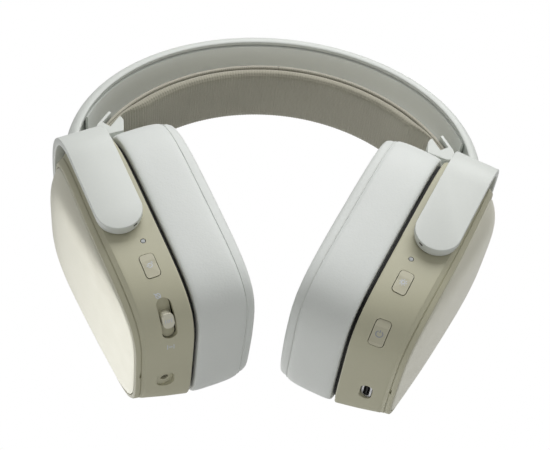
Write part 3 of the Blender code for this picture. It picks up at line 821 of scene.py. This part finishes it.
def yoke(side):
    """Bent bar over the cup with round arm ends and a soft bevel all round."""
    matrix = cup_matrix(side)
    name = "yoke_skin_" + side
    skin = add_piece(name, make_mesh(name, yoke_rows(), False, matrix=matrix, caps=True), WHITE)
    outline = arm_outline(YOKE_HALF, 48, 0.0)
    cutter = prism("yoke outline", outline, -ARM_CUT, ARM_CUT, matrix @ FROM_BEHIND)
    cut_with(skin, cutter, "INTERSECT")
    bevel = skin.modifiers.new("soft edges", "BEVEL")
    bevel.width = YOKE_EDGE * MM
    bevel.segments = 3
    bevel.angle_limit = math.radians(50)
    apply_modifiers(skin)
    smooth_by_angle(skin, 40.0)
    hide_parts("yoke_" + side)
    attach(skin, "yoke_" + side)


def arm_inlay(side):
    """Small dark inlay in the edge of the rear arm's round end, on the side next to the head."""
    angle = math.radians(INLAY_AT)
    out = Vector((math.cos(angle), 0.0, math.sin(angle)))
    along = Vector((-math.sin(angle), 0.0, math.cos(angle)))
    made = Matrix((along, Vector((0, 1, 0)), out)).transposed().to_4x4()
    made.translation = (out * YOKE_HALF + Vector((0.0, 0.5 * YOKE_THICK - YOKE_REACH, 0.0))) * MM
    outline = box_outline(2.0, 1.1, 0.3)
    name = "arm_inlay_" + side
    mesh = prism(name, outline, -0.4, 0.04, cup_matrix(side) @ made)
    inlay = add_piece(name, mesh, DARK_INK)
    smooth_by_angle(inlay)
    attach(inlay, "yoke_" + side)


# ---- printed marks

def circle(radius, start=0.0, stop=360.0, steps=20):
    """Stroke along a circle, or along part of one, in degrees."""
    points = []
    for index in range(steps + 1):
        angle = math.radians(start + (stop - start) * index / steps)
        points.append((radius * math.cos(angle), radius * math.sin(angle)))
    return points


def print_mark(name, surface, spot, strokes, width, paint, body, side):
    """Strokes of ink, drawn flat in millimetres and laid down on a curved surface."""
    matrix = cup_matrix(side) @ wall_frame(*spot)
    graph = bpy.context.evaluated_depsgraph_get()
    tree = BVHTree.FromObject(surface, graph)
    place = surface.matrix_world
    inverse = place.inverted()
    down = (inverse.to_3x3() @ (matrix.to_3x3() @ Vector((0, 0, -1)))).normalized()
    work = bmesh.new()
    for stroke in strokes:
        edges = []
        for index, point in enumerate(stroke):
            ahead = Vector(stroke[min(index + 1, len(stroke) - 1)])
            behind = Vector(stroke[max(index - 1, 0)])
            along = (ahead - behind).normalized()
            across = Vector((-along.y, along.x)) * width / 2
            pair = []
            for spread in (across, -across):
                flat = Vector(point) + spread
                above = inverse @ (matrix @ (Vector((flat.x, flat.y, MARK_ABOVE)) * MM))
                hit = tree.ray_cast(above, down)[0]
                if hit is None:
                    hit = above + down * MARK_ABOVE * MM
                pair.append(work.verts.new(place @ (hit - down * INK_THICK * MM)))
            edges.append(pair)
        for first, second in zip(edges, edges[1:]):
            work.faces.new((first[0], first[1], second[1], second[0]))
    mark = add_piece(name, finished_mesh(name, work), paint)
    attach(mark, body)


def bar(left, low, right, high, steps=6):
    """Straight stroke from one point to another."""
    points = []
    for index in range(steps + 1):
        across = left + (right - left) * index / steps
        points.append((across, low + (high - low) * index / steps))
    return points


def sun_sign():
    """A small ring with eight rays."""
    strokes = [circle(0.75)]
    for index in range(8):
        angle = math.radians(45 * index)
        strokes.append(bar(1.15 * math.cos(angle), 1.15 * math.sin(angle),
                           1.65 * math.cos(angle), 1.65 * math.sin(angle), 2))
    return strokes


def power_sign():
    """An open ring with an upright bar in its gap."""
    return [circle(1.45, -240.0, 60.0), bar(0, 0.55, 0, 1.85)]


def mode_sign():
    """A ring open at one side, with a bar into it and a tick above."""
    return [circle(0.95, 30.0, 330.0), bar(0.3, 0.0, 1.5, 0.0), bar(-1.5, 0.9, -0.9, 1.5, 3)]


def dial_sign():
    """A small ring between two short bars."""
    return [circle(0.55, steps=12), bar(-1.3, -1.0, -1.3, 1.0), bar(1.3, -1.0, 1.3, 1.0)]


def pair_sign():
    """Two upright strokes with a small ring between them."""
    return [bar(-1.3, -1.7, -1.3, 1.7), bar(1.3, -1.7, 1.3, 1.7), circle(0.55, steps=12)]


def struck_ring_sign():
    """A ring with a slanting bar through it."""
    return [circle(0.95), bar(-1.4, -1.4, 1.4, 1.4)]


def printed_marks():
    """Signs on the keys, on the slider's knob and on the left cup's wall."""
    key = NODES["mode_button_left"]
    print_mark("mode_mark", key, FIRST_KEY, mode_sign(), 0.36, INK, "mode_button", "left")
    key = NODES["light_button_right"]
    print_mark("light_mark", key, FIRST_KEY, sun_sign(), 0.36, INK, "light_button", "right")
    key = NODES["power_button_right"]
    sign = power_sign()
    print_mark("power_mark", key, POWER_KEY, sign, 0.42, POWER_INK, "power_button", "right")
    knob = NODES["slider_knob_left"]
    print_mark("knob_mark", knob, SLIDER, dial_sign(), 0.26, INK, "slide_switch", "left")
    shell = bpy.data.objects["cup_shell_skin_left"]
    sign = struck_ring_sign()
    print_mark("upper_mark", shell, UPPER_SIGN, sign, 0.34, INK, "cup_left", "left")
    print_mark("lower_mark", shell, LOWER_SIGN, pair_sign(), 0.36, INK, "cup_left", "left")


# ---- ear cushions

PAD_PROFILE = (
    # side of the cushion: inset from the cup outline, depth
    (3.0, PAD_BACK - 0.02), (0.7, PAD_BACK - 0.1), (0.05, PAD_BACK - 0.5), (-0.25, PAD_BACK - 2.2),
    (-0.4, PAD_BACK - 5.0), (-0.45, PAD_BACK - 8.0), (-0.5, PAD_BACK - 11.0),
    (-0.5, PAD_MIDDLE), (-0.4, PAD_BACK - 17.0), (-0.2, PAD_BACK - 19.5),
    (0.15, PAD_BACK - 21.5),
)
# the seam, where the side and the face are sewn together
SEAM_AT = (0.5, PAD_BACK - 22.6)
SEAM_ROW = len(PAD_PROFILE)
FACE_PROFILE = (
    # share of the way from the seam to the ear opening, height above the flat face
    (0.05, -0.9), (0.11, -0.3), (0.20, 0.0), (0.32, 0.0), (0.45, 0.0), (0.58, 0.1),
    (0.72, 0.5), (0.84, 1.3), (0.93, 2.6), (0.98, 4.2),
)
# wall of the ear opening: height above the flat face
INNER_PROFILE = (6.0, 9.0, 12.0, 15.0, 18.0, 21.0, 24.0)


def cushion_rows():
    """Rows round the cushion: up its side, over the seam and the face, down the ear opening."""
    rows = []
    for inset, depth in PAD_PROFILE + (SEAM_AT,):
        rows.append([(depth, *outline_point(MOUTH, inset, angle)) for angle in ANGLES])
    for share, height in FACE_PROFILE:
        row = []
        for angle in ANGLES:
            outer = Vector(outline_point(MOUTH, SEAM_AT[0], angle))
            inner = Vector(oval_point(EAR_HALF, EAR_RISE, angle))
            spot = outer.lerp(inner, share)
            row.append((PAD_FACE + height, spot.x, spot.y))
        rows.append(row)
    for height in INNER_PROFILE:
        grow = FLARE * max(0.0, (height - FLARE_FROM) / FLARE_OVER)
        half, rise = EAR_HALF + grow, EAR_RISE + grow
        rows.append([(PAD_FACE + height, *oval_point(half, rise, angle)) for angle in ANGLES])
    return rows


def puff(piece, pinned):
    """Inflate a soft piece with cloth, keeping each point within a limit of its start."""
    start = [vertex.co.copy() for vertex in piece.data.vertices]
    group = piece.vertex_groups.new(name="sewn")
    for index, weight in pinned.items():
        group.add([index], weight, "REPLACE")
    cloth = piece.modifiers.new("cloth", "CLOTH")
    settings = cloth.settings
    settings.quality = 5
    settings.mass = 0.25
    settings.tension_stiffness = 25.0
    settings.compression_stiffness = 25.0
    settings.shear_stiffness = 10.0
    settings.bending_stiffness = 2.0
    settings.use_pressure = True
    settings.uniform_pressure_force = 4.0
    settings.vertex_group_mass = "sewn"
    settings.pin_stiffness = 2.0
    settings.effector_weights.gravity = 0.0
    scene = bpy.context.scene
    scene.frame_start = 1
    scene.frame_end = PUFF_FRAMES
    for step in range(1, PUFF_FRAMES + 1):
        scene.frame_set(step)
    apply_modifiers(piece)
    piece.vertex_groups.clear()
    for vertex, home in zip(piece.data.vertices, start):
        moved = vertex.co - home
        if moved.length > PUFF_LIMIT:
            vertex.co = home + moved.normalized() * PUFF_LIMIT
    scene.frame_set(1)


def row_points(row):
    """Numbers of the vertices in one row of the cushion."""
    return range(row * AROUND, (row + 1) * AROUND)


def ear_cushion(side):
    """A foam ring under leatherette, sewn round the edge of its face, with a drawn-in seam."""
    rows = cushion_rows()
    matrix = cup_matrix(side)
    name = "ear_cushion_skin_" + side
    cushion = add_piece(name, make_mesh(name, rows, True, matrix=matrix), LEATHER)
    pinned = {}
    for row in (0, 1, len(rows) - 2, len(rows) - 1):
        for index in row_points(row):
            pinned[index] = 1.0
    for index in row_points(SEAM_ROW):
        pinned[index] = 0.9
    puff(cushion, pinned)
    level = cushion.modifiers.new("smooth", "SUBSURF")
    level.levels = 1
    level.render_levels = 1
    apply_modifiers(cushion)
    draw_in_seam(cushion, rows[SEAM_ROW], matrix)
    cushion.data.shade_smooth()
    body = "cup_" + side
    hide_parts("ear_cushion_" + side)
    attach(cushion, body)
    tube = seam_piping("cushion_piping_" + side, cushion, rows[SEAM_ROW], matrix)
    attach(tube, body)


def draw_in_seam(piece, row, matrix):
    """Sink the surface a little along the sewn line."""
    line = [matrix @ (Vector(point) * MM) for point in row]
    count = len(line)
    centre = matrix @ (Vector((PAD_MIDDLE, 0, 0)) * MM)
    # a narrow ribbon from the line towards the middle, to measure distances from
    ribbon = line + [point + (centre - point) * 0.02 for point in line]
    faces = []
    for index in range(count):
        after = (index + 1) % count
        faces.append((index, after, after + count, index + count))
    tree = BVHTree.FromPolygons(ribbon, faces)
    reach = SEAM_REACH * MM
    for vertex in piece.data.vertices:
        found = tree.find_nearest(vertex.co, 3 * MM)
        near, away = found[0], found[3]
        if near is not None and away < reach:
            share = 0.5 + 0.5 * math.cos(math.pi * away / reach)
            vertex.co += (centre - vertex.co).normalized() * SEAM_SINK * MM * share


def seam_piping(name, surface, row, matrix):
    """A thin round cord laid on a surface along a closed row of points."""
    tree = BVHTree.FromPolygons(
        [vertex.co.copy() for vertex in surface.data.vertices],
        [tuple(face.vertices) for face in surface.data.polygons],
    )
    points = [tree.find_nearest(matrix @ (Vector(point) * MM))[:2] for point in row]
    rows = []
    count = len(points)
    sides = 8
    for index in range(count):
        here, out = points[index]
        ahead = points[(index + 1) % count][0] - points[index - 1][0]
        across = ahead.normalized().cross(out).normalized()
        ring = []
        for turn in range(sides):
            angle = 2 * math.pi * turn / sides
            spot = here + out * (math.sin(angle) * PIPING_RADIUS * MM)
            spot += across * (math.cos(angle) * PIPING_RADIUS * MM)
            ring.append(spot / MM)
        rows.append(ring)
    return add_piece(name, make_mesh(name, rows, True), PIPING)


# ---- floating strap

def strap_frame(angle, depth):
    """World point on the strap, depth millimetres in from its outer face, and the inward way."""
    here = Vector((
        (STRAP_HALF - depth) * math.sin(angle), 0.0,
        STRAP_LEVEL + (STRAP_RISE - depth) * math.cos(angle),
    ))
    inward = Vector((-math.sin(angle) / STRAP_HALF, 0.0, -math.cos(angle) / STRAP_RISE))
    return here, inward.normalized()


def strap_angles(step):
    """Angles from the top to the clip, evenly spaced along the strap."""
    angles = [0.0]
    stop = math.radians(STRAP_END)
    while angles[-1] < stop:
        angle = angles[-1]
        speed = math.hypot(STRAP_HALF * math.cos(angle), STRAP_RISE * math.sin(angle))
        angles.append(angle + step / speed)
    angles[-1] = stop
    return angles


def strap_thickness(angle):
    """Pad thickness: full over the crown, thin where it runs into the clip."""
    share = (math.degrees(angle) - PAD_THIN_FROM) / PAD_THIN_OVER
    share = min(1.0, max(0.0, share))
    share = share * share * (3 - 2 * share)
    return PAD_THICK + (PAD_THIN - PAD_THICK) * share


def pad_outline(thick, bend):
    """Rounded section of the pad: across the strap, and in from the pad's outer face."""
    half = STRAP_WIDE / 2
    outline = []
    for turn in EDGE_TURNS:
        side_in = bend * (1 - math.sin(turn))
        outline.append((-half + side_in, thick / 2 - (thick / 2) * math.cos(turn)))
    for step in range(1, PAD_STEPS):
        outline.append((-half + bend + (2 * half - 2 * bend) * step / PAD_STEPS, thick))
    for turn in EDGE_TURNS:
        side_in = bend * (1 - math.sin(turn))
        outline.append((half - side_in, thick / 2 + (thick / 2) * math.cos(turn)))
    return outline


def pad_half(side):
    """Half of the knit pad: rounded section, ribs running front to back."""
    sign = 1 if side == "right" else -1
    half = STRAP_WIDE / 2
    rows = []
    for number, angle in enumerate(strap_angles(RIB_PITCH / RIB_STEPS)):
        thick = strap_thickness(angle)
        rib = RIB_HEIGHT * (1 - math.cos(2 * math.pi * number / RIB_STEPS)) / 2
        top, inward = strap_frame(angle, CARRIER_THICK + PAD_GAP)
        bend = min(PAD_CORNER, thick / 2)
        row = []
        for across, deep in pad_outline(thick, bend):
            crown = PAD_CROWN * (1 - (across / half) ** 2) if deep > 0.5 * thick else 0.0
            lift = rib * min(1.0, deep / (0.25 * thick))
            # round an edge the ribs stand out sideways instead
            edge = abs(across) > half - bend
            side_push = lift if edge else 0.0
            lift *= 0.25 if edge else 1.0
            point = top + inward * (deep + crown + lift - PAD_SUNK)
            along = across - math.copysign(RIB_HEIGHT - side_push, across)
            row.append((sign * point.x, along, point.z))
        rows.append(row)
    name = "strap_pad_half_" + side
    return add_piece(name, make_mesh(name, rows, False, caps=True), KNIT)


def carrier_half(side):
    """Half of the webbing above the pad, with rounded edges."""
    sign = 1 if side == "right" else -1
    half = STRAP_WIDE / 2
    outline = []
    for turn in EDGE_TURNS:
        deep = CARRIER_THICK / 2 * (1 - math.cos(turn))
        outline.append((-half + CARRIER_EDGE * (1 - math.sin(turn)), deep))
    for turn in EDGE_TURNS:
        deep = CARRIER_THICK / 2 * (1 + math.cos(turn))
        outline.append((half - CARRIER_EDGE * (1 - math.sin(turn)), deep))
    rows = []
    for angle in strap_angles(CARRIER_STEP):
        top, inward = strap_frame(angle, 0.0)
        row = []
        for across, deep in outline:
            point = top + inward * deep
            row.append((sign * point.x, across, point.z))
        rows.append(row)
    name = "strap_webbing_half_" + side
    return add_piece(name, make_mesh(name, rows, False, caps=True), WEBBING)


def floating_strap():
    """Knit pad and webbing, each in two halves along the strap's arch, in place of the CAD strap
    and its ends.
    """
    for side, sign in (("left", -1), ("right", 1)):
        pad = pad_half(side)
        web = carrier_half(side)
        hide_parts("strap_pad", "strap_end_" + side)
        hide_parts("strap_carrier")
        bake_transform(pad)
        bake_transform(web)


# ---- speaker cloth

def speaker_cloth(side):
    """Thin cloth stretched over the driver opening, dished a little towards the driver."""
    rows = []
    for ring in range(CLOTH_RINGS + 1):
        share = 0.03 + 0.97 * ring / CLOTH_RINGS
        dish = CLOTH_DISH * (1 - share * share)
        row = []
        for index in range(CLOTH_AROUND):
            angle = 2 * math.pi * index / CLOTH_AROUND
            along, height = oval_point(CLOTH_HALF * share, CLOTH_RISE * share, angle)
            row.append((CLOTH_AT + dish, along, height))
        rows.append(row)
    name = "speaker_cloth_" + side
    cloth = add_piece(name, make_mesh(name, rows, False, matrix=cup_matrix(side)), SCRIM)
    thick = cloth.modifiers.new("cloth thickness", "SOLIDIFY")
    thick.thickness = 0.0003
    apply_modifiers(cloth)
    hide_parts("scrim_" + side)
    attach(cloth, "cup_" + side)


# ---- stage

def camera():
    """The product view's camera, turned a little about its own axis."""
    azimuth, elevation = math.radians(VIEW_AZIMUTH), math.radians(VIEW_ELEVATION)
    back = Vector((
        math.sin(azimuth) * math.cos(elevation),
        -math.cos(azimuth) * math.cos(elevation),
        math.sin(elevation),
    ))
    right = (-back).cross(Vector((0, 0, 1))).normalized()
    up = right.cross(-back)
    roll = math.radians(VIEW_ROLL)
    across = right * math.cos(roll) - up * math.sin(roll)
    above = right * math.sin(roll) + up * math.cos(roll)
    data = bpy.data.cameras.new("product_camera")
    data.lens = VIEW_LENS
    data.sensor_width = 36.0
    data.clip_end = 20.0
    made = new_object("product_camera", data)
    matrix = Matrix((across, above, back)).transposed().to_4x4()
    matrix.translation = VIEW_TARGET + back * VIEW_DISTANCE
    made.matrix_world = matrix
    bpy.context.scene.camera = made


def area_light(name, location, target, size, power):
    """A rectangular light of a size in metres and a power in watts, aimed at a point."""
    data = bpy.data.lights.new(name, "AREA")
    data.shape = "RECTANGLE"
    data.size = size[0]
    data.size_y = size[1]
    data.energy = power
    made = new_object(name, data)
    made.location = location
    aim = Vector(target) - Vector(location)
    made.rotation_mode = "QUATERNION"
    made.rotation_quaternion = aim.to_track_quat("-Z", "Y")


def floor():
    """Pale floor far below, lifted towards white where the camera sees it."""
    work = bmesh.new()
    bmesh.ops.create_grid(work, x_segments=8, y_segments=8, size=FLOOR_HALF)
    shader = Shader("pale_floor", (0.68, 0.68, 0.67), 0.8)
    shader.tint(shader.ramp(shader.noise(0.6, 2.0), 0.3, 0.7, 0.0, 0.1), (0.63, 0.63, 0.62))
    seen = shader.tree.nodes.new("ShaderNodeLightPath")
    glow = shader.ramp(seen.outputs["Is Camera Ray"], 0.0, 1.0, 0.0, FLOOR_GLOW)
    shader.link(glow, shader.principled.inputs["Emission Strength"])
    shader.set(Emission_Color=(1, 1, 1, 1))
    made = add_piece("studio_floor", finished_mesh("studio_floor", work), shader.material)
    made.location = (0, 0, FLOOR_LEVEL)


def world():
    """Soft white surroundings, seen as white, that give less light from below than from above."""
    made = bpy.data.worlds.new("studio")
    bpy.context.scene.world = made
    made.use_nodes = True
    tree = made.node_tree
    background = tree.nodes["Background"]
    background.inputs["Color"].default_value = (1, 1, 1, 1)
    place = tree.nodes.new("ShaderNodeTexCoord")
    parts = tree.nodes.new("ShaderNodeSeparateXYZ")
    tree.links.new(place.outputs["Generated"], parts.inputs["Vector"])
    height = tree.nodes.new("ShaderNodeMapRange")
    height.inputs["From Min"].default_value = -0.6
    height.inputs["From Max"].default_value = 0.4
    height.inputs["To Min"].default_value = AMBIENT_BELOW
    height.inputs["To Max"].default_value = AMBIENT_ABOVE
    tree.links.new(parts.outputs["Z"], height.inputs["Value"])
    seen = tree.nodes.new("ShaderNodeLightPath")
    strength = tree.nodes.new("ShaderNodeMapRange")
    strength.inputs["To Max"].default_value = 1.0
    tree.links.new(height.outputs["Result"], strength.inputs["To Min"])
    tree.links.new(seen.outputs["Is Camera Ray"], strength.inputs["Value"])
    tree.links.new(strength.outputs["Result"], background.inputs["Strength"])


finish_cad_nodes()
for cup_side in ("left", "right"):
    cup_shell(cup_side)
    outer_plate(cup_side)
    yoke(cup_side)
    arm_inlay(cup_side)
    ear_cushion(cup_side)
    speaker_cloth(cup_side)
band_shell()
band_liner()
floating_strap()
printed_marks()

camera()
world()
floor()
for light in LIGHTS:
    area_light(*light)
bpy.context.scene.view_settings.view_transform = "Standard"
